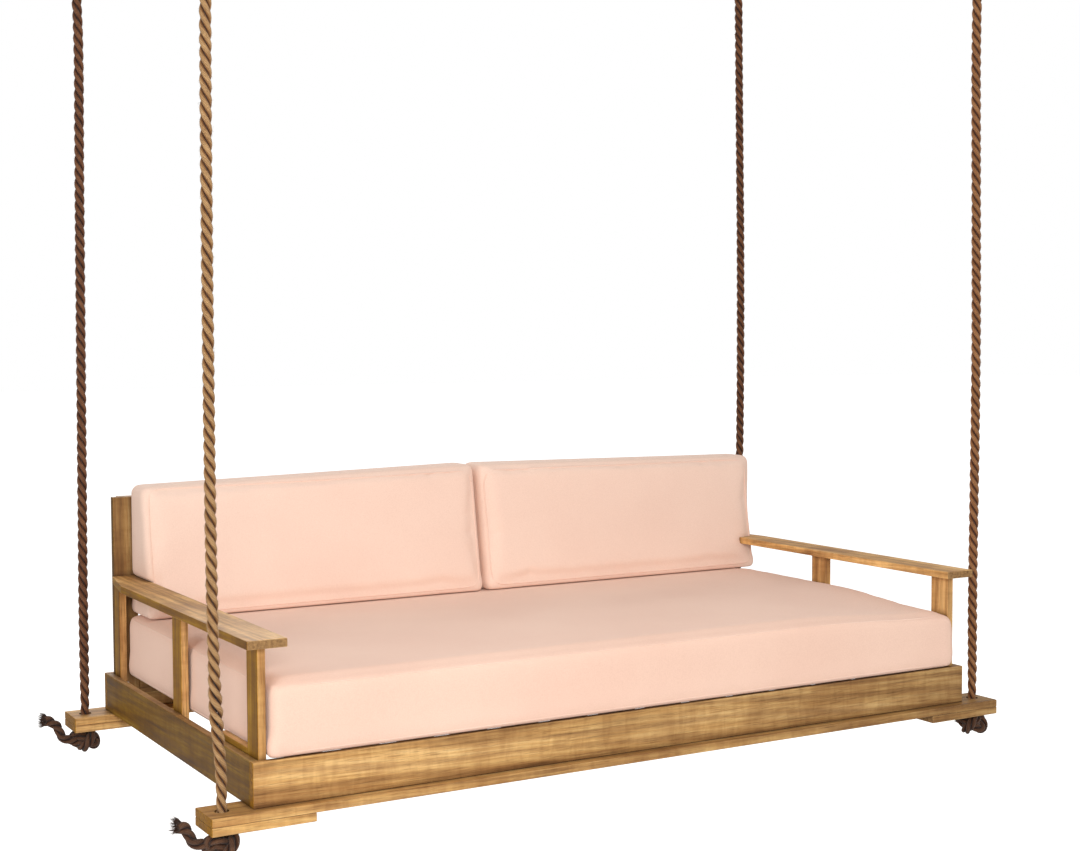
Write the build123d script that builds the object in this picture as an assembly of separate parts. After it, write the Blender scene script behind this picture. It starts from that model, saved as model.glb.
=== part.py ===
from build123d import *
import math
import os

# A porch swing bed: a slatted daybed frame with arms, a low back and three cushions,
# hung on four ropes. Each rope passes through a beam end and is stopped by a knot below
# it, and its upper end is spliced round a thimble on a shackle in a ceiling eye bolt.
#
# Frame: origin at the centre of the four ceiling studs, in the plane of the ceiling.
# +X runs along the seat, -Y is the open front, +Z is up. Millimetres.

# ---- driving dimensions: seat frame -------------------------------------------------
FRAME_L = 2012.0          # outside length of the rail frame, along X
FRAME_D = 1112.0          # outside depth of the rail frame, along Y
BOARD_T = 19.0            # thickness of every board
RAIL_H = 98.0             # height of the four rails
POST_W = 64.0             # width of posts, stiles and slats
EASE = 2.0                # rounding of long board edges
CEILING_H = 2420.0        # ceiling above the underside of the rails

# ---- hanger beams -------------------------------------------------------------------
BEAM_END = 100.0          # beam past each end of the frame
BEAM_OUT = 28.0           # beam in front of, or behind, the rail face
BEAM_W = 106.0
DOUBLER_L = 232.0

# ---- arms and back ------------------------------------------------------------------
ARM_TOP = 359.0           # above the underside of the rails
ARM_W = 90.0
ARM_OUT = 16.0            # arm outside the frame
ARM_NOSE = 18.0           # arm in front of the frame
ARM_CLIP_L = 184.0        # length of the tapered stretch at the back of the arm
ARM_CLIP_W = 30.0
REAR_POST_D = 45.0        # the rear arm post is narrower, with a stile behind it
STILE_TOP = 568.0
TOP_RAIL_H = 89.0
BACK_SLATS = 3

# ---- deck ---------------------------------------------------------------------------
SLATS = 14
SLAT_PITCH = 134.0
CLEAT_H = 38.0
STOP_L = 182.0            # mattress stops beside the front posts
STOP_RISE = 13.0          # above the rails

# ---- cushions -----------------------------------------------------------------------
MATTRESS_T = 164.0
MATTRESS_GAP = 40.0       # from each end of the frame
MATTRESS_Y = (2.0, 1052.0)
CUSHION_TOP = 618.0
CUSHION_FOOT_Y = 886.0    # front of the back cushions at the seat
CUSHION_HEAD_Y = 948.0    # and at their tops
CUSHION_BACK_Y = 1070.0
CUSHION_X = (56.0, 1037.0, 1041.0, 2004.0)

# ---- ropes --------------------------------------------------------------------------
ROPE_R = 13.0
ROPE_OUT = 60.0           # rope outside the end of the frame
ROPE_IN = 25.0            # rope inside the front and back of the frame
HOLE_R = 16.0
FOOT_H = 45.0             # the bend of the rope above the beam
FOOT_GAP = 0.5
KNOT_R = 45.0
KNOT_H = 62.0

# ---- ceiling hardware ---------------------------------------------------------------
STUD_R = 6.0
STUD_L = 90.0
FLANGE_R = 17.0
FLANGE_T = 6.0
EYE_R = 22.0              # centre line of the eye ring
EYE_WIRE = 6.0
EYE_Z = -42.0
BOW_R = 23.5              # centre line of the shackle bow
BOW_WIRE = 6.5
PLAY = 0.4                # gap between linked pieces
PIN_R = 7.0
PIN_Z = -112.0
LUG_R = 13.0
LUG_T = 15.0
THIMBLE_R = 22.0          # inside of the thimble's crown
THIMBLE_WALL = 3.0
THIMBLE_LIP = 7.0
THIMBLE_W = 30.0
THIMBLE_POINT = 56.0      # from the crown's centre to the cut end
SPLICE_D = 90.0           # from the crown's centre to the throat of the eye
SPLICE_L = 110.0
SPLICE_R = 17.0

# ---- fasteners ----------------------------------------------------------------------
SCREW_R = 2.0
SCREW_HEAD_R = 4.2
SHORT_SCREW = 32.0
LONG_SCREW = 50.0
DOWEL_R = 4.0
DOWEL_L = 30.0
DOWEL_IN_ARM = 13.0
DOWEL_IN_RAIL = 12.0

# ---- places worked out from them ----------------------------------------------------
X0 = -FRAME_L / 2         # left end of the frame
Y0 = -FRAME_D / 2         # front of the frame
Z0 = -CEILING_H           # underside of the rails
ARM_FLOOR = ARM_TOP - BOARD_T
SEAT_Z = RAIL_H + MATTRESS_T
STILE_Y = FRAME_D - 2 * BOARD_T
EYE_FOOT_Z = EYE_Z - EYE_R
BOW_Z = EYE_FOOT_Z + EYE_WIRE + BOW_WIRE + PLAY - BOW_R
CROWN_Z = PIN_Z + PIN_R + PLAY - THIMBLE_R
ROPE_LINE_R = THIMBLE_R + THIMBLE_WALL + ROPE_R
THROAT_Z = CROWN_Z - SPLICE_D
CORNERS = {
    "front_left": (-1, -1),
    "front_right": (1, -1),
    "back_left": (-1, 1),
    "back_right": (1, 1),
}

nodes = {}


def board(x, y, z, ease=EASE):
    """A board between two limits on each axis, counted from the frame's lower left front."""
    size = [limit[1] - limit[0] for limit in (x, y, z)]
    middle = [(limit[0] + limit[1]) / 2 for limit in (x, y, z)]
    solid = Box(*size)
    if ease:
        solid = fillet(solid.edges(), ease)
    return Pos(X0 + middle[0], Y0 + middle[1], Z0 + middle[2]) * solid


def mirrored_x(x):
    """The same stretch of X at the other end of the frame."""
    return (FRAME_L - x[1], FRAME_L - x[0])


def seat_point(x, y, z):
    return Vector(X0 + x, Y0 + y, Z0 + z)


def rope_xy(corner):
    side, depth = CORNERS[corner]
    return side * (FRAME_L / 2 + ROPE_OUT), depth * (FRAME_D / 2 - ROPE_IN)


# ---- rails --------------------------------------------------------------------------
def make_rails():
    full = (0, FRAME_L)
    between = (BOARD_T, FRAME_D - BOARD_T)
    height = (0, RAIL_H)
    end = (0, BOARD_T)
    nodes["front_rail"] = board(full, (0, BOARD_T), height)
    nodes["back_rail"] = board(full, (FRAME_D - BOARD_T, FRAME_D), height)
    nodes["side_rail_left"] = board(end, between, height)
    nodes["side_rail_right"] = board(mirrored_x(end), between, height)


# ---- hanger beams and the doublers under their ends ---------------------------------
def make_beams():
    span = (-BEAM_END, FRAME_L + BEAM_END)
    doubler = (-BEAM_END, DOUBLER_L - BEAM_END)
    for name, y in (
        ("front", (-BEAM_OUT, BEAM_W - BEAM_OUT)),
        ("back", (FRAME_D + BEAM_OUT - BEAM_W, FRAME_D + BEAM_OUT)),
    ):
        nodes["hanger_beam_" + name] = board(span, y, (-BOARD_T, 0))
        below = (-2 * BOARD_T, -BOARD_T)
        nodes[f"beam_doubler_{name}_left"] = board(doubler, y, below)
        nodes[f"beam_doubler_{name}_right"] = board(mirrored_x(doubler), y, below)
    for corner in CORNERS:
        x, y = rope_xy(corner)
        hole = Pos(x, y, Z0 - BOARD_T) * Cylinder(HOLE_R, 4 * BOARD_T)
        depth, side = corner.split("_")
        nodes["hanger_beam_" + depth] -= hole
        nodes[f"beam_doubler_{depth}_{side}"] -= hole


# ---- arm posts, arms and back stiles ------------------------------------------------
def arm_outline():
    """The left arm from above, in frame coordinates, going round from the outer nose."""
    return [
        (-ARM_OUT, -ARM_NOSE),
        (ARM_W - ARM_OUT, -ARM_NOSE),
        (ARM_W - ARM_OUT, STILE_Y),
        (ARM_CLIP_W - ARM_OUT, STILE_Y),
        (-ARM_OUT, STILE_Y - ARM_CLIP_L),
    ]


def make_arms():
    post_x = (BOARD_T, 2 * BOARD_T)
    middle = FRAME_D / 2
    post_y = {
        "front": (BOARD_T, BOARD_T + POST_W),
        "middle": (middle - POST_W / 2, middle + POST_W / 2),
        "rear": (STILE_Y - REAR_POST_D, STILE_Y),
    }
    for place, y in post_y.items():
        height = (0, ARM_FLOOR)
        nodes[f"arm_post_{place}_left"] = board(post_x, y, height)
        nodes[f"arm_post_{place}_right"] = board(mirrored_x(post_x), y, height)
    blank = extrude(make_face(Polyline(*arm_outline(), close=True)), BOARD_T)
    left = Pos(X0, Y0, Z0 + ARM_FLOOR) * fillet(blank.edges(), EASE)
    nodes["arm_left"] = left
    nodes["arm_right"] = mirror(left, Plane.YZ)


def make_back():
    stile_y = (STILE_Y, STILE_Y + BOARD_T)
    behind = (STILE_Y + BOARD_T, FRAME_D)
    height = (0, STILE_TOP)
    end_stile = (BOARD_T, BOARD_T + POST_W)
    nodes["back_stile_left"] = board(end_stile, stile_y, height)
    nodes["back_stile_right"] = board(mirrored_x(end_stile), stile_y, height)
    centre = ((FRAME_L - POST_W) / 2, (FRAME_L + POST_W) / 2)
    nodes["back_stile_centre"] = board(centre, stile_y, height)
    span = (2 * BOARD_T, FRAME_L - 2 * BOARD_T)
    nodes["back_top_rail"] = board(span, behind, (STILE_TOP - TOP_RAIL_H, STILE_TOP))
    slats = []
    for low in back_slat_heights():
        slats.append(board(span, behind, (low, low + POST_W)))
    nodes["back_slats"] = Compound(slats)


def back_slat_heights():
    """Lower edges of the back slats, evenly spaced between the back rail and the top rail."""
    free = STILE_TOP - TOP_RAIL_H - RAIL_H - BACK_SLATS * POST_W
    gap = free / (BACK_SLATS + 1)
    return [RAIL_H + gap + i * (gap + POST_W) for i in range(BACK_SLATS)]


# ---- deck ---------------------------------------------------------------------------
def slat_centres():
    first = FRAME_L / 2 - SLAT_PITCH * (SLATS - 1) / 2
    return [first + i * SLAT_PITCH for i in range(SLATS)]


def make_deck():
    slat_z = (RAIL_H - BOARD_T, RAIL_H)
    cleat_z = (RAIL_H - BOARD_T - CLEAT_H, RAIL_H - BOARD_T)
    inside = (BOARD_T, STILE_Y + BOARD_T)
    slats = []
    for x in slat_centres():
        slats.append(board((x - POST_W / 2, x + POST_W / 2), inside, slat_z))
    nodes["deck_slats"] = Compound(slats)
    front_span = (2 * BOARD_T, FRAME_L - 2 * BOARD_T)
    nodes["deck_cleat_front"] = board(front_span, (BOARD_T, 2 * BOARD_T), cleat_z)
    half = (BOARD_T + POST_W, (FRAME_L - POST_W) / 2)
    rear_y = (STILE_Y, STILE_Y + BOARD_T)
    halves = [board(x, rear_y, cleat_z) for x in (half, mirrored_x(half))]
    nodes["deck_cleat_back"] = Compound(halves)
    stop_x = (BOARD_T, 2 * BOARD_T)
    stop_y = (BOARD_T + POST_W, BOARD_T + POST_W + STOP_L)
    stop_z = (STOP_RISE, RAIL_H + STOP_RISE)
    stops = [board(x, stop_y, stop_z) for x in (stop_x, mirrored_x(stop_x))]
    nodes["mattress_stops"] = Compound(stops)


# ---- cushions -----------------------------------------------------------------------
def make_cushions():
    corner_r = 28.0
    edge_r = 24.0
    x = (MATTRESS_GAP, FRAME_L - MATTRESS_GAP)
    pad = board(x, MATTRESS_Y, (RAIL_H, SEAT_Z), ease=0)
    pad = fillet(pad.edges().filter_by(Axis.Z), corner_r)
    pad = fillet(pad.edges().group_by(Axis.Z)[0] + pad.edges().group_by(Axis.Z)[-1], edge_r)
    nodes["mattress"] = pad
    wedge = [
        (CUSHION_FOOT_Y, SEAT_Z),
        (CUSHION_BACK_Y, SEAT_Z),
        (CUSHION_BACK_Y, CUSHION_TOP),
        (CUSHION_HEAD_Y, CUSHION_TOP),
    ]
    for name, low, high in (("left", *CUSHION_X[:2]), ("right", *CUSHION_X[2:])):
        face = make_face(Plane.YZ * Polyline(*wedge, close=True))
        solid = fillet(extrude(face, high - low, dir=(1, 0, 0)).edges(), edge_r)
        nodes["back_cushion_" + name] = Pos(X0 + low, Y0, Z0) * solid
    arm_z = (ARM_FLOOR - 3.0, ARM_TOP + 3.0)
    arm_x = (-ARM_OUT, ARM_W - ARM_OUT + 2.0)
    for name, x in (("left", arm_x), ("right", mirrored_x(arm_x))):
        nodes["back_cushion_" + name] -= board(x, (CUSHION_FOOT_Y - 90, FRAME_D), arm_z, ease=0)
    post_x = (-BOARD_T, 2 * BOARD_T + 3.0)
    post_y = (STILE_Y - REAR_POST_D - 3.0, FRAME_D)
    post = board(mirrored_x(post_x), post_y, (SEAT_Z - 40.0, ARM_FLOOR), ease=0)
    nodes["back_cushion_right"] -= post


# ---- screws and dowels --------------------------------------------------------------
def screw(length):
    """A countersunk wood screw, its head at the origin and its point along -Z."""
    neck = 2.6
    tip = 5.0
    outline = [
        (0, 0),
        (SCREW_HEAD_R, 0),
        (SCREW_R, -neck),
        (SCREW_R, tip - length),
        (0, -length),
    ]
    return revolve(make_face(Plane.XZ * Polyline(*outline, close=True)), Axis.Z)


def place_screw(point, direction, length):
    """A screw with its head at a point, driven in a direction."""
    plane = Plane(origin=point, z_dir=-Vector(*direction))
    return plane.location * screw(length)


def drive(screws, names):
    """Cuts each board for its screws."""
    for name in names:
        box = nodes[name].bounding_box()
        for item in screws:
            if box.overlaps(item.bounding_box()):
                nodes[name] = nodes[name] - item


def end_signs():
    """Each end of the seat: the side's name, and a function from left X to that end's X."""
    return (("left", lambda x: x), ("right", lambda x: FRAME_L - x))


def post_screws():
    found = []
    for side, at in end_signs():
        inward = -1 if side == "left" else 1
        posts = (BOARD_T + POST_W / 2, FRAME_D / 2, STILE_Y - REAR_POST_D / 2)
        for y in posts:
            for z in (RAIL_H * 0.3, RAIL_H * 0.72):
                point = seat_point(at(2 * BOARD_T), y, z)
                found.append(place_screw(point, (inward, 0, 0), SHORT_SCREW))
        stop_mid = BOARD_T + POST_W + STOP_L / 2
        for dy in (-STOP_L / 3, STOP_L / 3):
            point = seat_point(at(2 * BOARD_T), stop_mid + dy, RAIL_H * 0.6)
            found.append(place_screw(point, (inward, 0, 0), SHORT_SCREW))
    return found


def stile_x():
    return (BOARD_T + POST_W / 2, FRAME_L / 2, FRAME_L - BOARD_T - POST_W / 2)


def back_screws():
    found = []
    heights = [low + POST_W / 2 for low in back_slat_heights()]
    heights.append(STILE_TOP - TOP_RAIL_H / 2)
    for x in stile_x():
        for z in heights:
            for dz in (-14.0, 14.0):
                point = seat_point(x + dz / 2, FRAME_D, z + dz)
                found.append(place_screw(point, (0, -1, 0), SHORT_SCREW))
        for z in (RAIL_H * 0.3, RAIL_H * 0.72):
            found.append(place_screw(seat_point(x, STILE_Y, z), (0, 1, 0), SHORT_SCREW))
    return found


def beam_screws():
    found = []
    across = (BOARD_T / 2, FRAME_D - BOARD_T / 2)
    for y in across:
        for i in range(5):
            x = 0.12 * FRAME_L + i * 0.19 * FRAME_L
            found.append(place_screw(seat_point(x, y, -BOARD_T), (0, 0, 1), LONG_SCREW))
        for x in (-0.16 * DOUBLER_L, 0.42 * DOUBLER_L):
            for at in (x, FRAME_L - x):
                inset = BEAM_W * 0.62
                depth = inset - BEAM_OUT if y < FRAME_D / 2 else FRAME_D + BEAM_OUT - inset
                point = seat_point(at, depth, -2 * BOARD_T)
                found.append(place_screw(point, (0, 0, 1), SHORT_SCREW))
    return found


def slat_screws():
    found = []
    for x in slat_centres():
        for y in (1.5 * BOARD_T, STILE_Y + BOARD_T / 2):
            found.append(place_screw(seat_point(x, y, RAIL_H), (0, 0, -1), SHORT_SCREW))
    middle = RAIL_H - BOARD_T - CLEAT_H / 2
    for i in range(6):
        x = FRAME_L * (0.1 + 0.16 * i)
        point = seat_point(x, 2 * BOARD_T, middle)
        found.append(place_screw(point, (0, -1, 0), SHORT_SCREW))
        found.append(place_screw(seat_point(x, STILE_Y, middle), (0, 1, 0), SHORT_SCREW))
    return found


def dowel(point, direction, length, radius=DOWEL_R):
    """A dowel with one end at a point, running in a direction."""
    plane = Plane(origin=point, z_dir=direction)
    pin = Cylinder(radius, length, align=(Align.CENTER, Align.CENTER, Align.MIN))
    return plane.location * pin


def make_dowels():
    found = []
    for side, at in end_signs():
        for y in (BOARD_T + POST_W / 2, FRAME_D / 2, STILE_Y - REAR_POST_D / 2):
            point = seat_point(at(1.5 * BOARD_T), y, ARM_FLOOR + DOWEL_IN_ARM - DOWEL_L)
            found.append(dowel(point, (0, 0, 1), DOWEL_L))
        for z in (RAIL_H * 0.25, RAIL_H * 0.75):
            near = seat_point(at(BOARD_T / 2), BOARD_T - DOWEL_IN_RAIL, z)
            far = seat_point(at(BOARD_T / 2), FRAME_D - BOARD_T + DOWEL_IN_RAIL, z)
            found.append(dowel(near, (0, 1, 0), DOWEL_L))
            found.append(dowel(far, (0, -1, 0), DOWEL_L))
    return found


def make_fasteners():
    structure = post_screws() + back_screws() + beam_screws()
    deck = slat_screws()
    dowels = make_dowels()
    wood = [name for name in nodes if "cushion" not in name and name != "mattress"]
    drive(structure + deck + dowels, wood)
    nodes["wood_screws"] = Compound(structure)
    nodes["deck_screws"] = Compound(deck)
    nodes["wood_dowels"] = Compound(dowels)


# ---- ceiling hardware ---------------------------------------------------------------
def eye_bolt():
    tip = 2.0
    neck_r = 8.0
    outline = [
        (0, STUD_L),
        (STUD_R - tip, STUD_L),
        (STUD_R, STUD_L - tip),
        (STUD_R, 0),
        (FLANGE_R, 0),
        (FLANGE_R, -FLANGE_T),
        (neck_r, -FLANGE_T - 4.0),
        (neck_r, EYE_Z + EYE_R),
        (0, EYE_Z + EYE_R),
    ]
    stem = revolve(make_face(Plane.XZ * Polyline(*outline, close=True)), Axis.Z)
    ring = Pos(0, 0, EYE_Z) * Rot(0, 90, 0) * Torus(EYE_R, EYE_WIRE)
    return stem + ring


def bar(start, end, radius):
    """A round bar between two points."""
    run = Vector(*end) - Vector(*start)
    plane = Plane(origin=start, z_dir=run)
    return plane.location * Cylinder(radius, run.length, align=(Align.CENTER, Align.CENTER, Align.MIN))


def part_ring(radius, wire, turn):
    """A stretch of a ring about Z, from +X towards +Y."""
    return Torus(radius, wire, major_angle=turn, align=Align.NONE)


def shackle_bow():
    """A bow in the plane of X and Z, with a lug at the foot of each leg."""
    crown = Plane(origin=(0, 0, BOW_Z), x_dir=(1, 0, 0), z_dir=(0, -1, 0))
    bow = crown.location * part_ring(BOW_R, BOW_WIRE, 180)
    for side in (-1, 1):
        bow += bar((side * BOW_R, 0, PIN_Z), (side * BOW_R, 0, BOW_Z), BOW_WIRE)
        bow += Pos(side * BOW_R, 0, PIN_Z) * Rot(0, 90, 0) * Cylinder(LUG_R, LUG_T)
    bore = Rot(0, 90, 0) * Cylinder(PIN_R + 0.15, 4 * BOW_R)
    return bow - Pos(0, 0, PIN_Z) * bore


def shackle_pin():
    """The pin along X, with a collar and a flat eye at one end for tightening it."""
    outer = BOW_R + LUG_T / 2
    collar_r = 11.0
    collar_t = 5.0
    tab = (16.0, 5.0, 18.0)
    length = 2 * outer + 4.0
    pin = Rot(0, 90, 0) * Cylinder(PIN_R, length)
    collar = Pos(outer + 0.3 + collar_t / 2, 0, 0) * Rot(0, 90, 0) * Cylinder(collar_r, collar_t)
    tab_x = outer + collar_t + tab[0] / 2
    flat = Pos(tab_x, 0, 0) * fillet(Box(*tab).edges().filter_by(Axis.Y), 6.0)
    hole = Pos(tab_x + 1.5, 0, 0) * Rot(90, 0, 0) * Cylinder(3.0, 3 * tab[1])
    return Pos(0, 0, PIN_Z) * (pin + collar + (flat - hole))


def eye_half_turn():
    """How far the crown of the rope's eye goes past a half turn at each end, in radians."""
    return math.asin(ROPE_LINE_R / SPLICE_D)


def eye_touch(radius, side):
    """Where a leg of the eye meets its crown, on a line this far from the crown's centre."""
    half = eye_half_turn()
    return (0, side * radius * math.cos(half), CROWN_Z - radius * math.sin(half))


def rope_loop(tube):
    """The eye of the rope: a crown and two straight legs down to the throat."""
    half = eye_half_turn()
    start = (0, math.cos(half), -math.sin(half))
    crown = Plane(origin=(0, 0, CROWN_Z), x_dir=start, z_dir=(1, 0, 0))
    turn = 180 + 2 * math.degrees(half)
    loop = crown.location * part_ring(ROPE_LINE_R, tube, turn)
    for side in (-1, 1):
        loop += bar((0, 0, THROAT_Z), eye_touch(ROPE_LINE_R, side), tube)
    return loop


def teardrop(radius, width):
    """A teardrop plate standing across X, its sides parallel to the rope's eye."""
    throat = (0, 0, CROWN_Z - radius / math.sin(eye_half_turn()))
    outline = Wire([
        Edge.make_line(throat, eye_touch(radius, 1)),
        Edge.make_three_point_arc(
            eye_touch(radius, 1), (0, 0, CROWN_Z + radius), eye_touch(radius, -1)
        ),
        Edge.make_line(eye_touch(radius, -1), throat),
    ])
    return extrude(make_face(outline), width / 2, dir=(1, 0, 0), both=True)


def thimble():
    """A grooved ring inside the eye of the rope, cut short at its point."""
    rim = THIMBLE_R + THIMBLE_WALL + THIMBLE_LIP
    ring = teardrop(rim, THIMBLE_W) - teardrop(THIMBLE_R, 2 * THIMBLE_W)
    ring -= rope_loop(ROPE_R + 0.3)
    point = Pos(0, 0, CROWN_Z - THIMBLE_POINT - 2 * rim) * Box(4 * rim, 4 * rim, 4 * rim)
    return ring - point


def make_hardware():
    bolts = []
    for corner in CORNERS:
        x, y = rope_xy(corner)
        place = Pos(x, y, 0)
        bolts.append(place * eye_bolt())
        nodes["shackle_bow_" + corner] = place * shackle_bow()
        nodes["shackle_pin_" + corner] = place * shackle_pin()
        nodes["thimble_" + corner] = place * thimble()
    nodes["ceiling_eye_bolts"] = Compound(bolts)


# ---- ropes --------------------------------------------------------------------------
def rope():
    """From a rounded end at the bend above the beam up to the spliced eye."""
    bend = Z0 + FOOT_H
    swell = THROAT_Z - SPLICE_L
    shape = [
        Edge.make_line((0, 0, bend - ROPE_R), (0, 0, THROAT_Z + SPLICE_R)),
        Edge.make_three_point_arc(
            (0, 0, THROAT_Z + SPLICE_R),
            (SPLICE_R * math.sqrt(0.5), 0, THROAT_Z + SPLICE_R * math.sqrt(0.5)),
            (SPLICE_R, 0, THROAT_Z),
        ),
        Edge.make_line((SPLICE_R, 0, THROAT_Z), (SPLICE_R, 0, THROAT_Z - SPLICE_L / 3)),
        Edge.make_line((SPLICE_R, 0, THROAT_Z - SPLICE_L / 3), (ROPE_R, 0, swell)),
        Edge.make_line((ROPE_R, 0, swell), (ROPE_R, 0, bend)),
        Edge.make_three_point_arc(
            (ROPE_R, 0, bend),
            (ROPE_R * math.sqrt(0.5), 0, bend - ROPE_R * math.sqrt(0.5)),
            (0, 0, bend - ROPE_R),
        ),
    ]
    straight = revolve(make_face(Wire(shape)), Axis.Z)
    return straight + rope_loop(ROPE_R)


def rope_foot():
    """The stretch of rope from the bend down through the hole in the beam."""
    low = Z0 - 2 * BOARD_T + 1.2
    high = Z0 + FOOT_H - ROPE_R - FOOT_GAP
    return Pos(0, 0, (low + high) / 2) * Cylinder(ROPE_R, high - low)


# The tail of each knot, from the middle of the knot: X is away from the seat, Y is
# towards the back and Z is up.
KNOT_TAILS = {
    "front_left": [(0, 0, -2), (64, 4, 0), (72, 8, 44), (104, 6, 50)],
    "back_left": [(0, 0, -2), (64, -4, 0), (74, -8, 56), (126, -12, 68)],
    "front_right": [(0, 0, -2), (4, 36, -2), (8, 62, 2)],
    "back_right": [(0, 0, -2), (0, -36, -4), (4, -62, 0)],
}


def knot_tail(points):
    radii = []
    for before, here, after in zip(points, points[1:], points[2:]):
        first = Vector(*here) - Vector(*before)
        second = Vector(*after) - Vector(*here)
        half_turn = math.radians(first.get_angle(second)) / 2
        radii.append(0.45 * min(first.length, second.length) / math.tan(half_turn))
    path = FilletPolyline(*points, radius=radii)
    start = path.edges()[0]
    section = Plane(origin=start @ 0, z_dir=start % 0) * Circle(ROPE_R)
    print("tail radii", [round(r, 1) for r in radii], "length", round(path.length, 1))
    return sweep(section, path=path)


def rope_knot(corner):
    side = CORNERS[corner][0]
    lump = fillet(Cylinder(KNOT_R, KNOT_H).edges(), 0.4 * KNOT_H)
    points = [(side * p[0], p[1], p[2]) for p in KNOT_TAILS[corner]]
    return Pos(0, 0, Z0 - 2 * BOARD_T - KNOT_H / 2) * (lump + knot_tail(points))


def make_ropes():
    for corner in CORNERS:
        place = Pos(*rope_xy(corner), 0)
        nodes["rope_" + corner] = place * rope()
        nodes["rope_foot_" + corner] = place * rope_foot()
        nodes["rope_knot_" + corner] = place * rope_knot(corner)


make_rails()
make_beams()
make_arms()
make_back()
make_deck()
make_fasteners()
make_cushions()
make_hardware()
make_ropes()

os.makedirs("parts", exist_ok=True)
for name, shape in nodes.items():
    export_step(shape, f"parts/{name}.step")
print(len(nodes), "nodes")
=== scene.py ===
import math

import bpy
import numpy as np
from mathutils import Matrix, Vector, noise
from mathutils.bvhtree import BVHTree


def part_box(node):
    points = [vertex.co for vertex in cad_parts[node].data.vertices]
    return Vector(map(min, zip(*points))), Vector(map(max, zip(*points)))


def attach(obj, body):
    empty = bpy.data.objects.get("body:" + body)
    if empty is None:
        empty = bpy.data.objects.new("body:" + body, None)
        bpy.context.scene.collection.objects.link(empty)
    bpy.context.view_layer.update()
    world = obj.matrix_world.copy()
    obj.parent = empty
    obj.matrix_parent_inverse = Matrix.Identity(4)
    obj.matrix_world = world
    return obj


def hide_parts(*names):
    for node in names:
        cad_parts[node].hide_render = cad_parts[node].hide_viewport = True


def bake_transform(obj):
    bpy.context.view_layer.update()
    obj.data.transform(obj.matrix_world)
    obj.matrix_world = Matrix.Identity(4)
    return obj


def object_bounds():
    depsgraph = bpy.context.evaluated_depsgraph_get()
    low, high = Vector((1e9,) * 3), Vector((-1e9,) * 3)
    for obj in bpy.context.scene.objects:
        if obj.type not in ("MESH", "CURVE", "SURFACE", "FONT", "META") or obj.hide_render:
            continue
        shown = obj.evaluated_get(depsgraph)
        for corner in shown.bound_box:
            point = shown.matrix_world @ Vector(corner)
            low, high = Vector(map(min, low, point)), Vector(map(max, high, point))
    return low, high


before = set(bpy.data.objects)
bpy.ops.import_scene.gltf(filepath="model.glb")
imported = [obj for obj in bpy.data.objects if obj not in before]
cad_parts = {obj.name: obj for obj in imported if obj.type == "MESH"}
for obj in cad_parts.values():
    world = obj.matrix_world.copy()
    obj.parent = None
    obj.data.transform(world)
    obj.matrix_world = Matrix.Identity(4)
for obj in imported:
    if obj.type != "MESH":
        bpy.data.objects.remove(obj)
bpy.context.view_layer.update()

# Looks of a porch swing bed: four laid ropes with eyes and knots, a foam mattress and two
# back cushions, stained boards and galvanised fittings. Metres, in the frame of the CAD
# model: X along the seat, -Y the open front, Z up from the ceiling plane.

CORNERS = ("front_left", "front_right", "back_left", "back_right")
ROPE_D = 0.026
ROPE_LAY = 0.086              # one full turn of a strand
STRAND_SIDES = 12
EXIT_Z = -0.205               # where each rope leaves its thimble

rng = np.random.RandomState(7)


# ---- camera -------------------------------------------------------------------------
def add_camera():
    data = bpy.data.cameras.new("camera")
    data.sensor_width = 36.0
    data.lens = 55.99
    data.clip_end = 200.0
    camera = bpy.data.objects.new("camera", data)
    bpy.context.scene.collection.objects.link(camera)
    yaw, pitch, roll = (math.radians(a) for a in (30.165, 3.048, -0.208))
    ahead = Vector((math.sin(yaw) * math.cos(pitch), math.cos(yaw) * math.cos(pitch), -math.sin(pitch)))
    level = Vector((math.cos(yaw), -math.sin(yaw), 0.0))
    above = level.cross(ahead)
    right = level * math.cos(roll) + above * math.sin(roll)
    up = above * math.cos(roll) - level * math.sin(roll)
    turn = Matrix((right, up, -ahead)).transposed().to_4x4()
    camera.matrix_world = Matrix.Translation((-2.2285, -3.8608, -1.4313)) @ turn
    bpy.context.scene.camera = camera


add_camera()


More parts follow.
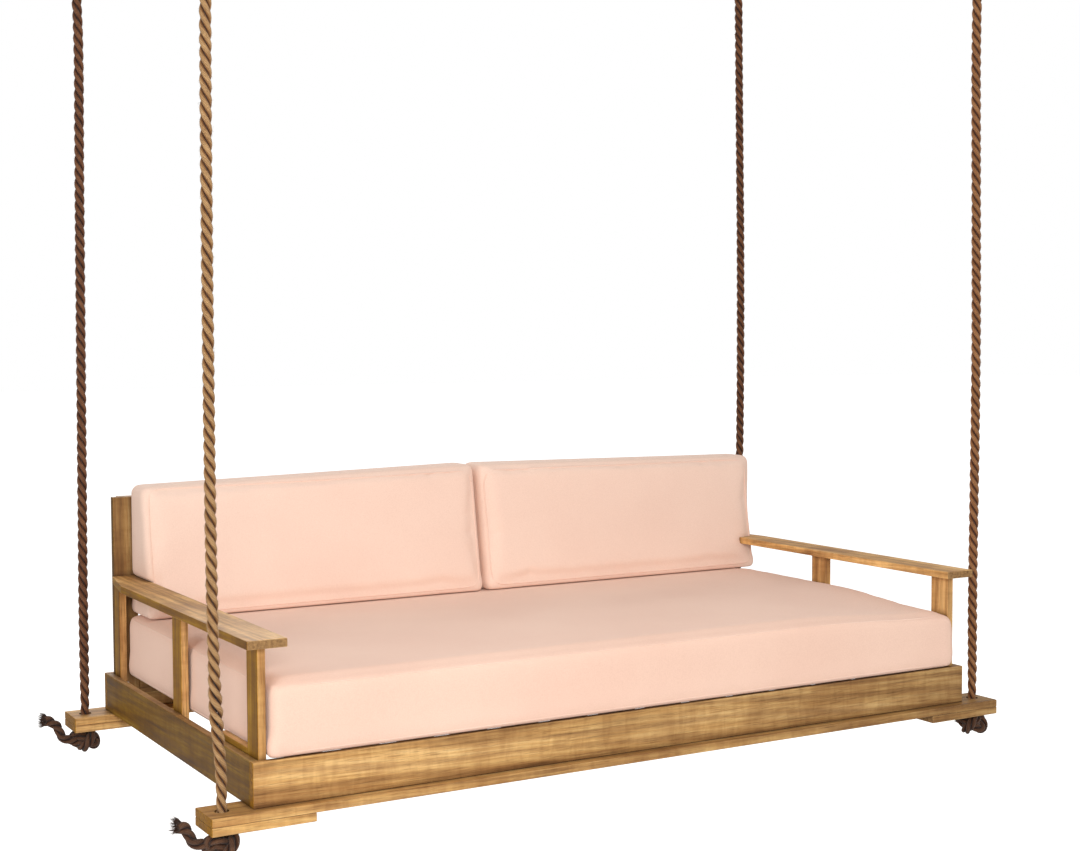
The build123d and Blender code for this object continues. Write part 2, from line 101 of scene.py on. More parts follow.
# ---- node graphs --------------------------------------------------------------------
class Graph:
    """A material's node tree, built one node at a time."""

    def __init__(self, name):
        self.material = bpy.data.materials.new(name)
        self.material.use_nodes = True
        self.tree = self.material.node_tree
        self.tree.nodes.clear()

    def add(self, kind, inputs=(), **settings):
        node = self.tree.nodes.new("ShaderNode" + kind)
        for key, value in settings.items():
            setattr(node, key, value)
        for key, value in dict(inputs).items():
            if isinstance(value, bpy.types.NodeSocket):
                self.tree.links.new(value, node.inputs[key])
            else:
                node.inputs[key].default_value = value
        return node

    def maths(self, operation, a, b=0.0, clamp=False):
        return self.add("Math", {0: a, 1: b}, operation=operation, use_clamp=clamp).outputs[0]

    def vector(self, operation, a, b=(0.0, 0.0, 0.0)):
        return self.add("VectorMath", {0: a, 1: b}, operation=operation).outputs[0]

    def noise(self, vector, scale, detail=4.0, rough=0.5, distortion=0.0):
        given = {"Vector": vector, "Scale": scale, "Detail": detail, "Roughness": rough,
                 "Distortion": distortion}
        return self.add("TexNoise", given).outputs["Fac"]

    def ramp(self, fac, stops):
        node = self.add("ValToRGB", {"Fac": fac})
        items = node.color_ramp.elements
        while len(items) < len(stops):
            items.new(0.5)
        for item, (place, colour) in zip(items, stops):
            item.position = place
            item.color = (*colour, 1.0) if len(colour) == 3 else colour
        return node.outputs["Color"]

    def mix(self, fac, a, b, blend="MIX"):
        node = self.add("Mix", {0: fac, 6: a, 7: b}, data_type="RGBA", blend_type=blend)
        return node.outputs[2]

    def bump(self, height, distance, strength=1.0, normal=None):
        given = {"Height": height, "Distance": distance, "Strength": strength}
        if normal is not None:
            given["Normal"] = normal
        return self.add("Bump", given).outputs["Normal"]

    def finish(self, **inputs):
        shader = self.add("BsdfPrincipled", {k.replace("_", " "): v for k, v in inputs.items()})
        self.add("OutputMaterial", {"Surface": shader.outputs[0]})
        return self.material


def srgb(r, g, b):
    """A colour given in screen values from 0 to 255, for a node's colour socket."""
    def linear(v):
        v = v / 255
        return v / 12.92 if v <= 0.04045 else ((v + 0.055) / 1.055) ** 2.4
    return (linear(r), linear(g), linear(b), 1.0)


# ---- materials ----------------------------------------------------------------------
def wood(name, grain, tone=1.0):
    """Stained board with its grain along one axis, and end grain on the faces across it.

    Faces that look left get painted shade on the left half, and boards along X get painted light that fades
    to the right."""
    g = Graph(name)
    place = g.add("TexCoord").outputs["Object"]
    board = g.add("ObjectInfo").outputs["Random"]
    shift = g.add("CombineXYZ", {0: g.maths("MULTIPLY", board, 7.0), 1: g.maths("MULTIPLY", board, 13.0),
                                 2: g.maths("MULTIPLY", board, 5.0)}).outputs[0]
    place = g.vector("ADD", place, shift)

    def stretched(along, across):
        scale = [across] * 3
        scale[grain] = along
        return g.vector("MULTIPLY", place, tuple(scale))

    waves = g.noise(stretched(0.55, 7.0), 2.2, 3.0, 0.55, 0.5)
    rings = g.add("TexWave", {"Vector": stretched(0.32, 5.5), "Scale": 3.1, "Distortion": 9.0,
                              "Detail": 3.0, "Detail Scale": 0.7, "Detail Roughness": 0.6},
                  wave_type="BANDS", bands_direction="DIAGONAL").outputs["Fac"]
    streaks = g.noise(stretched(1.1, 46.0), 3.0, 5.0, 0.62)
    pores = g.noise(stretched(9.0, 330.0), 2.4, 2.0, 0.6)
    blotch = g.noise(place, 5.5, 3.0, 0.6)
    figure = g.noise(stretched(34.0, 9.0), 1.4, 2.0, 0.5, 0.8)

    tones = g.ramp(waves, [(0.28, srgb(168, 122, 66)[:3]), (0.47, srgb(208, 164, 100)[:3]),
                           (0.60, srgb(224, 184, 124)[:3]), (0.78, srgb(238, 204, 148)[:3])])
    line = g.ramp(rings, [(0.0, srgb(168, 130, 84)[:3]), (0.3, srgb(216, 184, 138)[:3]),
                          (0.75, srgb(255, 255, 255)[:3]), (1.0, srgb(228, 202, 162)[:3])])
    colour = g.mix(0.50, tones, line, "MULTIPLY")
    streak = g.ramp(streaks, [(0.30, srgb(132, 96, 54)[:3]), (0.46, srgb(234, 216, 186)[:3]),
                              (0.72, srgb(255, 255, 255)[:3])])
    colour = g.mix(0.62, colour, streak, "MULTIPLY")
    pore = g.ramp(pores, [(0.34, srgb(110, 76, 44)[:3]), (0.47, (1, 1, 1))])
    colour = g.mix(0.40, colour, pore, "MULTIPLY")
    cloud = g.ramp(blotch, [(0.30, srgb(186, 158, 124)[:3]), (0.65, (1, 1, 1))])
    colour = g.mix(0.75, colour, cloud, "MULTIPLY")
    curl = g.ramp(figure, [(0.36, srgb(198, 172, 140)[:3]), (0.60, (1, 1, 1))])
    colour = g.mix(0.30, colour, curl, "MULTIPLY")
    shade = g.maths("ADD", g.maths("MULTIPLY", board, 0.20), 1.22)
    shade = g.maths("MULTIPLY", shade, tone)
    # painted shade: faces that look towards -X, on the left half of the seat, are darkened to stand in for
    # the shade on them
    painted_left_shade = g.add("SeparateXYZ", {0: g.add("NewGeometry").outputs["True Normal"]}).outputs[0]
    painted_left_shade = g.add("MapRange", {0: painted_left_shade, 1: -1.0, 2: 0.0, 3: 0.46, 4: 1.0}).outputs[0]
    run = g.add("SeparateXYZ", {0: g.add("TexCoord").outputs["Object"]}).outputs[0]
    painted_left_shade = g.maths("MAXIMUM", painted_left_shade, g.add("MapRange", {0: run, 1: -0.6, 2: 0.6}).outputs[0])
    shade = g.maths("MULTIPLY", shade, painted_left_shade)
    # painted light: boards along X are lighter on the left and darker to the right, as light falling off from
    # the left
    if grain == 0:
        painted_light_falloff = g.add("MapRange", {0: run, 1: -1.1, 2: 1.1, 3: 1.10, 4: 0.70}).outputs[0]
        shade = g.maths("MULTIPLY", shade, painted_light_falloff)
    tint = g.add("CombineColor", {0: shade, 1: shade, 2: shade}).outputs[0]
    colour = g.mix(1.0, colour, tint, "MULTIPLY")

    flat = g.add("NewGeometry")
    facing = g.add("SeparateXYZ", {0: flat.outputs["True Normal"]}).outputs[grain]
    across = g.maths("MULTIPLY", facing, facing)
    end = g.ramp(across, [(0.45, (0, 0, 0)), (0.75, (1, 1, 1))])
    cut = g.ramp(g.noise(place, 160.0, 4.0, 0.7),
                 [(0.30, srgb(96, 60, 28)[:3]), (0.70, srgb(176, 126, 72)[:3])])
    colour = g.mix(end, colour, cut)

    worn = g.add("Bevel", {"Radius": 0.0035}, samples=6).outputs[0]
    bend = g.add("VectorMath", {0: worn, 1: flat.outputs["Normal"]}, operation="DOT_PRODUCT").outputs["Value"]
    edge = g.ramp(bend, [(0.80, (1, 1, 1)), (0.985, (0, 0, 0))])
    patchy = g.maths("MULTIPLY", edge, g.maths("MULTIPLY", g.noise(place, 38.0, 3.0), 0.9), clamp=True)
    colour = g.mix(patchy, colour, srgb(231, 196, 144))
    # painted shade: the same left-face shade mask also raises the saturation there
    painted_shade_saturation = g.maths("ADD", g.maths("MULTIPLY", painted_left_shade, -0.50), 1.42)
    colour = g.add("HueSaturation", {"Hue": 0.509, "Saturation": painted_shade_saturation, "Color": colour}).outputs[0]
    # painted shade: ambient occlusion darkens joints, corners and gaps between boards, standing in for the
    # shade that falls there
    crevice = g.add("AmbientOcclusion", {"Distance": 0.022}, samples=6).outputs["AO"]
    painted_crevice_shade = g.ramp(crevice, [(0.25, srgb(92, 66, 36)[:3]), (0.80, (1, 1, 1))])
    colour = g.mix(0.85, colour, painted_crevice_shade, "MULTIPLY")

    rough = g.maths("ADD", g.maths("MULTIPLY", streaks, 0.22), 0.38)
    relief = g.maths("ADD", g.maths("MULTIPLY", pores, 0.6), g.maths("MULTIPLY", streaks, 0.8))
    normal = g.bump(relief, 0.0006, 0.55)
    return g.finish(Base_Color=colour, Roughness=rough, Normal=normal, Specular_IOR_Level=0.22,
                    Coat_Weight=0.03, Coat_Roughness=0.35)


def fabric(name, base, shade):
    """Plain woven outdoor canvas: fine weave, faint slubs and a soft sheen."""
    g = Graph(name)
    place = g.add("TexCoord").outputs["Object"]
    geometry = g.add("NewGeometry").outputs["Normal"]
    facing = g.add("SeparateXYZ", {0: g.vector("ABSOLUTE", geometry)})
    threads = None
    for axis, direction in enumerate("XYZ"):
        band = g.add("TexWave", {"Vector": place, "Scale": 270.0, "Distortion": 0.25, "Detail": 1.0},
                     wave_type="BANDS", bands_direction=direction).outputs["Fac"]
        seen = g.maths("SUBTRACT", 1.0, facing.outputs[axis], clamp=True)
        part = g.maths("MULTIPLY", band, seen)
        threads = part if threads is None else g.maths("ADD", threads, part)
    slubs = g.noise(place, 420.0, 3.0, 0.7)
    clouds = g.noise(place, 3.2, 3.0, 0.5)
    colour = g.mix(g.ramp(clouds, [(0.35, (0, 0, 0)), (0.65, (1, 1, 1))]), shade, base)
    speck = g.ramp(slubs, [(0.25, srgb(226, 214, 206)[:3]), (0.6, (1, 1, 1))])
    colour = g.mix(0.35, colour, speck, "MULTIPLY")
    thread = g.ramp(g.maths("MULTIPLY", threads, 0.5), [(0.0, srgb(232, 220, 212)[:3]), (0.7, (1, 1, 1))])
    colour = g.mix(0.35, colour, thread, "MULTIPLY")
    soft = g.bump(g.noise(place, 7.0, 2.0, 0.4), 0.006, 0.35)
    normal = g.bump(g.maths("ADD", threads, g.maths("MULTIPLY", slubs, 0.6)), 0.0003, 0.35, soft)
    rough = g.maths("ADD", g.maths("MULTIPLY", slubs, 0.15), 0.78)
    return g.finish(Base_Color=colour, Roughness=rough, Normal=normal, Specular_IOR_Level=0.22,
                    Sheen_Weight=0.25, Sheen_Roughness=0.5, Sheen_Tint=srgb(255, 236, 224))


def rope_fibre(name, light, middle, dark):
    """Twisted natural fibre: yarns running along each strand, with painted shade in the grooves and in the
    creases between yarns.
    """
    g = Graph(name)
    uv = g.add("TexCoord").outputs["UV"]
    split = g.add("SeparateXYZ", {0: uv})
    along, round_ = split.outputs[0], split.outputs[1]
    place = g.add("TexCoord").outputs["Object"]
    turn = g.maths("ADD", g.maths("MULTIPLY", along, 46.0), g.maths("MULTIPLY", round_, 9.0))
    yarn = g.maths("ABSOLUTE", g.maths("SUBTRACT", g.maths("FRACT", turn), 0.5))
    fibre_at = g.add("CombineXYZ", {0: g.maths("MULTIPLY", along, 120.0), 1: g.maths("MULTIPLY", turn, 6.0),
                                    2: 0.0}).outputs[0]
    fibres = g.noise(fibre_at, 1.0, 4.0, 0.7)
    patches = g.noise(place, 26.0, 3.0, 0.6)
    groove_shade = g.add("Attribute", attribute_name="groove_shade").outputs["Fac"]
    colour = g.ramp(fibres, [(0.25, dark[:3]), (0.48, middle[:3]), (0.78, light[:3])])
    colour = g.mix(g.ramp(patches, [(0.35, (0, 0, 0)), (0.70, (0.45, 0.45, 0.45))]), colour, light)
    # painted shade: a dark line along each crease between yarns
    yarn_crease_shade = g.ramp(yarn, [(0.0, srgb(120, 92, 62)[:3]), (0.16, (1, 1, 1))])
    colour = g.mix(0.7, colour, yarn_crease_shade, "MULTIPLY")
    # painted shade: strands darken on the side that faces into the grooves of the rope
    painted_groove_shade = g.ramp(groove_shade, [(0.10, (1, 1, 1)), (0.34, srgb(196, 172, 146)[:3]), (0.56, srgb(122, 94, 68)[:3]),
                          (0.80, srgb(56, 38, 24)[:3])])
    colour = g.mix(1.0, colour, painted_groove_shade, "MULTIPLY")
    relief = g.maths("ADD", g.maths("MULTIPLY", yarn, 1.6), fibres)
    normal = g.bump(relief, 0.0009, 0.8)
    return g.finish(Base_Color=colour, Roughness=0.86, Normal=normal, Specular_IOR_Level=0.25,
                    Sheen_Weight=0.12, Sheen_Roughness=0.5)


def steel(name, shade, roughness):
    """Galvanised steel: a faint crystal pattern, dull patches and a grey bloom."""
    g = Graph(name)
    place = g.add("TexCoord").outputs["Object"]
    crystal = g.add("TexVoronoi", {"Vector": place, "Scale": 260.0}).outputs["Color"]
    grey = g.add("RGBToBW", {0: crystal}).outputs[0]
    bloom = g.noise(place, 70.0, 4.0, 0.65)
    tone = g.maths("ADD", g.maths("MULTIPLY", grey, 0.16), g.maths("MULTIPLY", bloom, 0.30))
    tone = g.maths("ADD", tone, shade)
    colour = g.add("CombineColor", {0: tone, 1: tone, 2: g.maths("MULTIPLY", tone, 1.03)}).outputs[0]
    rough = g.maths("ADD", g.maths("MULTIPLY", bloom, 0.30), roughness)
    normal = g.bump(g.noise(place, 900.0, 3.0, 0.6), 0.0002, 0.5)
    return g.finish(Base_Color=colour, Metallic=0.92, Roughness=rough, Normal=normal)


WOOD = [wood("wood_along_" + "xyz"[axis], axis, tone) for axis, tone in enumerate((1.0, 1.18, 1.2))]
# painted shade: a darker copy of the wood for the side rails, back stiles and deck, which sit in shade
SHADED_WOOD = [wood("shaded_wood_along_" + "xyz"[axis], axis, 0.66) for axis in range(3)]
FABRIC = fabric("cushion_canvas", srgb(247, 212, 193), srgb(243, 206, 187))
BACK_FABRIC = fabric("cushion_canvas_back", srgb(249, 220, 203), srgb(245, 214, 197))
PIPING = fabric("cushion_piping", srgb(249, 218, 201), srgb(244, 209, 191))
# one rope in four copies: darker at the front right and darker still at the back, as painted shade
ROPE = {
    "front_left": rope_fibre("rope_tan", srgb(206, 168, 120), srgb(158, 120, 78), srgb(92, 62, 36)),
    "front_right": rope_fibre("rope_front_right_shaded", srgb(184, 136, 92), srgb(136, 90, 54), srgb(74, 42, 22)),
    "back_left": rope_fibre("rope_back_left_shaded", srgb(152, 106, 72), srgb(98, 60, 38), srgb(48, 26, 15)),
    "back_right": rope_fibre("rope_back_right_shaded", srgb(152, 102, 66), srgb(94, 58, 36), srgb(46, 25, 14)),
}
KNOT = rope_fibre("rope_dark", srgb(124, 88, 62), srgb(76, 50, 36), srgb(36, 22, 16))
STEEL = steel("galvanised_steel", 0.40, 0.26)
SCREW = steel("zinc_screw", 0.30, 0.30)
TWINE = rope_fibre("whipping_twine", srgb(236, 220, 190), srgb(214, 192, 156), srgb(150, 122, 84))

GRAIN = {
    0: ("front_rail", "back_rail", "hanger_beam_", "beam_doubler_", "back_top_rail", "back_slats",
        "deck_cleat_"),
    1: ("side_rail_", "arm_left", "arm_right", "deck_slats", "mattress_stops"),
    2: ("arm_post_", "back_stile_", "wood_dowels"),
}


# parts that get the darker wood copy as painted shade
PAINTED_SHADE_PARTS = ("side_rail_", "back_stile_", "deck_")


def finish_nodes():
    for name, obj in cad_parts.items():
        material = None
        boards = SHADED_WOOD if name.startswith(PAINTED_SHADE_PARTS) else WOOD
        for axis, starts in GRAIN.items():
            if name.startswith(starts):
                material = boards[axis]
        if name in ("wood_screws", "deck_screws"):
            material = SCREW
        if name.startswith(("ceiling_", "shackle_", "thimble_")):
            material = STEEL
        if material is None:
            continue
        for slot in obj.material_slots:
            slot.link = "OBJECT"
            slot.material = material


finish_nodes()


# ---- mesh helpers -------------------------------------------------------------------
def unit(v):
    return v / np.maximum(np.linalg.norm(v, axis=-1, keepdims=True), 1e-12)


def nurbs_line(points, steps=24):
    """The smooth line that a rope follows, from its route's control points."""
    curve = bpy.data.curves.new("route", "CURVE")
    curve.dimensions = "3D"
    curve.resolution_u = steps
    spline = curve.splines.new("NURBS")
    spline.points.add(len(points) - 1)
    for item, point in zip(spline.points, points):
        item.co = (*point, 1.0)
    spline.order_u = 3
    spline.use_endpoint_u = True
    obj = bpy.data.objects.new("route", curve)
    mesh = bpy.data.meshes.new_from_object(obj)
    line = np.array([v.co[:] for v in mesh.vertices])
    bpy.data.objects.remove(obj)
    bpy.data.meshes.remove(mesh)
    bpy.data.curves.remove(curve)
    return line


def spaced(line, step):
    """The same line with its points evenly spaced, and the distance along it of each."""
    run = np.concatenate([[0.0], np.cumsum(np.linalg.norm(np.diff(line, axis=0), axis=1))])
    count = max(3, int(round(run[-1] / step)) + 1)
    at = np.linspace(0.0, run[-1], count)
    return np.stack([np.interp(at, run, line[:, k]) for k in range(3)], axis=1), at


def carried_frames(line):
    """Two directions square to a line at each of its points, turning as little as possible."""
    ahead = unit(np.gradient(line, axis=0))
    side = np.zeros_like(line)
    start = np.array([0.0, 1.0, 0.0]) if abs(ahead[0][1]) < 0.9 else np.array([1.0, 0.0, 0.0])
    for i in range(len(line)):
        start = start - ahead[i] * (start @ ahead[i])
        start = start / np.linalg.norm(start)
        side[i] = start
    return ahead, side, np.cross(ahead, side)


class Shape:
    """Vertices, faces, texture positions and groove depth of a mesh, gathered in parts. The groove depth
    drives painted shade in a rope's grooves.
    """

    def __init__(self):
        self.verts, self.faces, self.uv, self.groove_shade = [], [], [], []
        self.count = 0

    def tube(self, line, radius, sides, facing=None, along=None):
        """A closed tube. facing is the direction of its first point, away from the rope's core."""
        if facing is None:
            ahead, facing, other = carried_frames(line)
        else:
            ahead = unit(np.gradient(line, axis=0))
            facing = unit(facing - ahead * np.sum(facing * ahead, axis=1, keepdims=True))
            other = np.cross(ahead, facing)
        rows = len(line)
        radius = np.broadcast_to(np.asarray(radius, float), (rows,))
        along = np.arange(rows) * 0.004 if along is None else along
        turn = np.arange(sides) * 2 * math.pi / sides
        ring = facing[:, None] * np.cos(turn)[None, :, None] + other[:, None] * np.sin(turn)[None, :, None]
        points = line[:, None] + ring * radius[:, None, None]
        first = self.count
        self.verts.append(points.reshape(-1, 3))
        # groove depth for painted shade: 0 on the strand's outer side, 1 on the side towards the rope's core
        self.groove_shade.append(np.tile((1 - np.cos(turn)) / 2, rows))
        here = first + np.arange(rows - 1)[:, None] * sides
        a = here + np.arange(sides)[None]
        b = here + (np.arange(sides)[None] + 1) % sides
        self.faces.append(np.stack([a, b, b + sides, a + sides], axis=2).reshape(-1, 4))
        low = np.broadcast_to(along[:-1, None], a.shape)
        high = np.broadcast_to(along[1:, None], a.shape)
        left = np.broadcast_to(np.arange(sides)[None] / sides, a.shape)
        right = left + 1.0 / sides
        corners = [np.stack(p, axis=2) for p in ((low, left), (low, right), (high, right), (high, left))]
        self.uv.append(np.stack(corners, axis=2).reshape(-1, 2))
        self.count += rows * sides
        self.cap(first, sides, line[0], along[0], flip=True)
        self.cap(first + (rows - 1) * sides, sides, line[-1], along[-1], flip=False)

    def cap(self, first, sides, centre, along, flip):
        self.verts.append(np.array([centre]))
        self.groove_shade.append(np.array([0.3]))
        middle = self.count
        self.count += 1
        for i in range(sides):
            a, b = first + i, first + (i + 1) % sides
            self.faces.append(np.array([[b, a, middle, -1] if flip else [a, b, middle, -1]]))
            self.uv.append(np.full((3, 2), [along, 0.5]))

    def spikes(self, base, tip, lift, width):
        """Loose fibres: thin three-sided spikes, bent in the middle."""
        count = len(base)
        run = unit(tip - base)
        side = unit(np.cross(run, lift + 1e-6))
        other = np.cross(run, side)
        middle = (base + tip) / 2 + lift
        rings = []
        for centre, scale in ((base, 1.0), (middle, 0.75)):
            for k in range(3):
                angle = 2 * math.pi * k / 3
                rings.append(centre + (side * math.cos(angle) + other * math.sin(angle)) * width * scale)
        rings.append(tip)
        points = np.stack(rings, axis=1).reshape(-1, 3)
        first = self.count + np.arange(count)[:, None] * 7
        for k in range(3):
            n = (k + 1) % 3
            quad = np.concatenate([first + k, first + n, first + 3 + n, first + 3 + k], axis=1)
            self.faces.append(quad)
            self.uv.append(np.full((count * 4, 2), 0.5))
        for k in range(3):
            n = (k + 1) % 3
            tri = np.concatenate([first + 3 + k, first + 3 + n, first + 6, np.full_like(first, -1)], axis=1)
            self.faces.append(tri)
            self.uv.append(np.full((count * 3, 2), 0.5))
        end = np.concatenate([first + 2, first + 1, first, np.full_like(first, -1)], axis=1)
        self.faces.append(end)
        self.uv.append(np.full((count * 3, 2), 0.5))
        self.verts.append(points)
        self.groove_shade.append(np.full(count * 7, 0.12))
        self.count += count * 7

    def make(self, name, material):
        mesh = bpy.data.meshes.new(name)
        faces = [f[:4] if f[3] >= 0 else f[:3] for f in np.concatenate(self.faces).tolist()]
        mesh.from_pydata(np.concatenate(self.verts).tolist(), [], faces)
        mesh.polygons.foreach_set("use_smooth", [True] * len(mesh.polygons))
        layer = mesh.uv_layers.new(name="UVMap")
        layer.data.foreach_set("uv", np.concatenate(self.uv).ravel())
        depth = mesh.attributes.new("groove_shade", "FLOAT", "POINT")
        depth.data.foreach_set("value", np.concatenate(self.groove_shade))
        mesh.materials.append(material)
        mesh.update()
        obj = bpy.data.objects.new(name, mesh)
        bpy.context.scene.collection.objects.link(obj)
        return obj


def lay_rope(shape, line, radius, step=0.004, phase=0.0, fuzz=700.0, lay=ROPE_LAY, loose=0.0, bare=6):
    """Three strands laid left-handed round a line. fuzz is the number of loose fibres per metre,
    loose is how far the strands stand apart, and bare is how many last points grow no fibres."""
    line, at = spaced(line, step)
    _, side, other = carried_frames(line)
    radius = np.broadcast_to(np.asarray(radius, float), (len(line),))
    strand_r = radius * 0.478
    wander = np.array([noise.noise((a * 9.0, phase, 0.5)) for a in at])
    for i in range(3):
        uneven = np.array([noise.noise((a * 30.0, i * 5.0 + phase, 2.0)) for a in at])
        own_r = strand_r * (1.0 + 0.05 * uneven)
        angle = phase + 2 * math.pi * i / 3 - 2 * math.pi * at / lay + 0.35 * wander
        out = side * np.cos(angle)[:, None] + other * np.sin(angle)[:, None]
        centre = line + out * (radius - strand_r + loose)[:, None]
        shape.tube(centre, own_r, STRAND_SIDES, out, at)
        count = int(fuzz * at[-1] / 3)
        if not count:
            continue
        pick = rng.randint(2, len(line) - bare, count)
        lean = rng.uniform(-1.1, 1.1, count)
        strand_ahead = unit(np.gradient(centre, axis=0))
        across = np.cross(strand_ahead, out)
        away = out[pick] * np.cos(lean)[:, None] + across[pick] * np.sin(lean)[:, None]
        base = centre[pick] + away * (own_r[pick] * 0.95)[:, None]
        reach = rng.uniform(0.003, 0.009, count)[:, None]
        rise = rng.uniform(0.0008, 0.0028, count)[:, None]
        way = np.where(rng.rand(count) < 0.5, -1.0, 1.0)[:, None]
        drift = across[pick] * rng.uniform(-0.5, 0.5, count)[:, None]
        tip = base + unit(strand_ahead[pick] * way + drift) * reach + away * rise
        shape.spikes(base, tip, away * rise * 0.5, 0.00016)
    return line


# ---- ropes --------------------------------------------------------------------------
def rope_axis(corner):
    low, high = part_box("rope_foot_" + corner)
    return (low[0] + high[0]) / 2, (low[1] + high[1]) / 2


# Each rope's line, as height and how far it stands from its tube in X and Y: the real
# ropes are not quite straight.
LEANS = {
    "front_left": [(-0.34, 0, 0), (-0.62, -0.010, 0), (-1.0, -0.014, 0), (-1.6, -0.016, 0), (-2.0, -0.015, 0),
                   (-2.20, -0.011, 0), (-2.30, -0.003, 0), (-2.335, 0, 0), (-2.40, 0, 0)],
    "front_right": [(-0.34, 0, 0), (-0.62, -0.010, 0), (-1.0, -0.004, 0), (-1.5, 0.004, 0), (-2.1, -0.002, 0),
                    (-2.335, 0, 0), (-2.40, 0, 0)],
    "back_left": [(-0.34, 0, 0), (-0.62, 0.016, 0), (-1.0, 0.010, 0), (-1.6, 0.005, 0), (-2.1, 0, 0),
                  (-2.335, 0, 0), (-2.40, 0, 0)],
    "back_right": [(-0.34, 0, 0), (-0.8, 0.006, 0), (-1.2, 0.012, 0), (-1.7, 0.012, 0), (-2.1, 0.004, 0),
                   (-2.335, 0, 0), (-2.40, 0, 0)],
}


def mouth_z(corner):
    depth, side = corner.split("_")
    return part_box(f"beam_doubler_{depth}_{side}")[0][2]


def make_rope(corner):
    x, y = rope_axis(corner)
    foot = mouth_z(corner) + 0.004
    route = [(x, y, EXIT_Z), (x, y, EXIT_Z - 0.06)]
    route += [(x + dx, y + dy, z) for z, dx, dy in LEANS[corner]]
    route += [(x, y, foot)]
    line = nurbs_line(route)
    shape = Shape()
    phase = 1.3 * CORNERS.index(corner)
    _, at = spaced(line, 0.004)
    slack = 0.0022 if corner == "front_left" else 0.0004
    loose = slack * np.exp(-((at - 2.00) / 0.06) ** 2)
    # thinner and without fibres in the hole of the beam, so that it clears the hole as it sways
    squeezed = ROPE_D / 2 - 0.0002 - 0.0013 * np.clip((at - at[-1] + 0.110) / 0.050, 0, 1)
    lay_rope(shape, line, squeezed, phase=phase, loose=loose, bare=34)
    rope = shape.make("rope_line_" + corner, ROPE[corner])
    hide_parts("rope_" + corner, "rope_foot_" + corner)
    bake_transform(rope)


def make_eye(corner):
    """The spliced eye round the thimble, the tapered tucks below it, and a twine whipping."""
    x, y = rope_axis(corner)
    crown_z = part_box("thimble_" + corner)[1][2] - 0.032
    ring = ROPE_D / 2 + 0.025
    route = [(x, y + 0.006, -0.232), (x, y + 0.012, -0.205), (x, y + 0.027, -0.170)]
    for turn in range(-20, 201, 20):
        a = math.radians(turn)
        route.append((x, y + ring * 1.015 * math.cos(a), crown_z + ring * 1.015 * math.sin(a)))
    route += [(x, y - 0.027, -0.170), (x, y - 0.012, -0.205), (x, y - 0.006, -0.232)]
    shape = Shape()
    lay_rope(shape, nurbs_line(route), ROPE_D / 2 - 0.0004, phase=0.6, fuzz=500.0, step=0.003)
    for k in range(3):
        start = 2 * math.pi * k / 3
        tuck = []
        for i in range(30):
            t = i / 29
            out = 0.0120 * (1 - t) + 0.0075 * t + 0.0022 * math.cos(t * 5 * math.pi + k)
            a = start + t * 4.4
            tuck.append((x + out * math.cos(a), y + out * math.sin(a), -0.222 - 0.100 * t))
        line, at = spaced(np.array(tuck), 0.003)
        centre = line.copy()
        centre[:, 0], centre[:, 1] = x, y
        shape.tube(line, np.linspace(0.0056, 0.0028, len(line)), 10, line - centre, at)
    eye = shape.make("rope_eye_" + corner, ROPE[corner])
    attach(eye, "rope_" + corner)

    coil = []
    for i in range(9 * 24 + 1):
        a = 2 * math.pi * i / 24
        coil.append((x + 0.0178 * math.cos(a), y + 0.0196 * math.sin(a), -0.212 - 0.0026 * i / 24))
    shape = Shape()
    line, at = spaced(np.array(coil), 0.0025)
    shape.tube(line, 0.0014, 8, None, at)
    whipping = shape.make("rope_whipping_" + corner, TWINE)
    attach(whipping, "rope_" + corner)
    return eye, whipping


# The tail of each knot, from the middle of the knot: away from the seat, towards the
# back, and up. The last number is how many loose fibres its end has.
TAILS = {
    "front_left": ([(0, 0, -0.002), (0.064, 0.004, 0), (0.072, 0.008, 0.044), (0.096, 0.006, 0.050)], 150),
    "back_left": ([(0, 0, -0.002), (0.064, -0.004, 0), (0.074, -0.008, 0.056), (0.112, -0.012, 0.066)], 260),
    "front_right": ([(0, 0, -0.002), (0.004, 0.036, -0.002), (0.008, 0.056, 0.002)], 90),
    "back_right": ([(0, 0, -0.002), (0, -0.036, -0.004), (0.004, -0.056, 0)], 90),
}
KNOT_SPIN = {"front_left": 0.4, "back_left": 2.1, "front_right": 1.2, "back_right": 3.0}


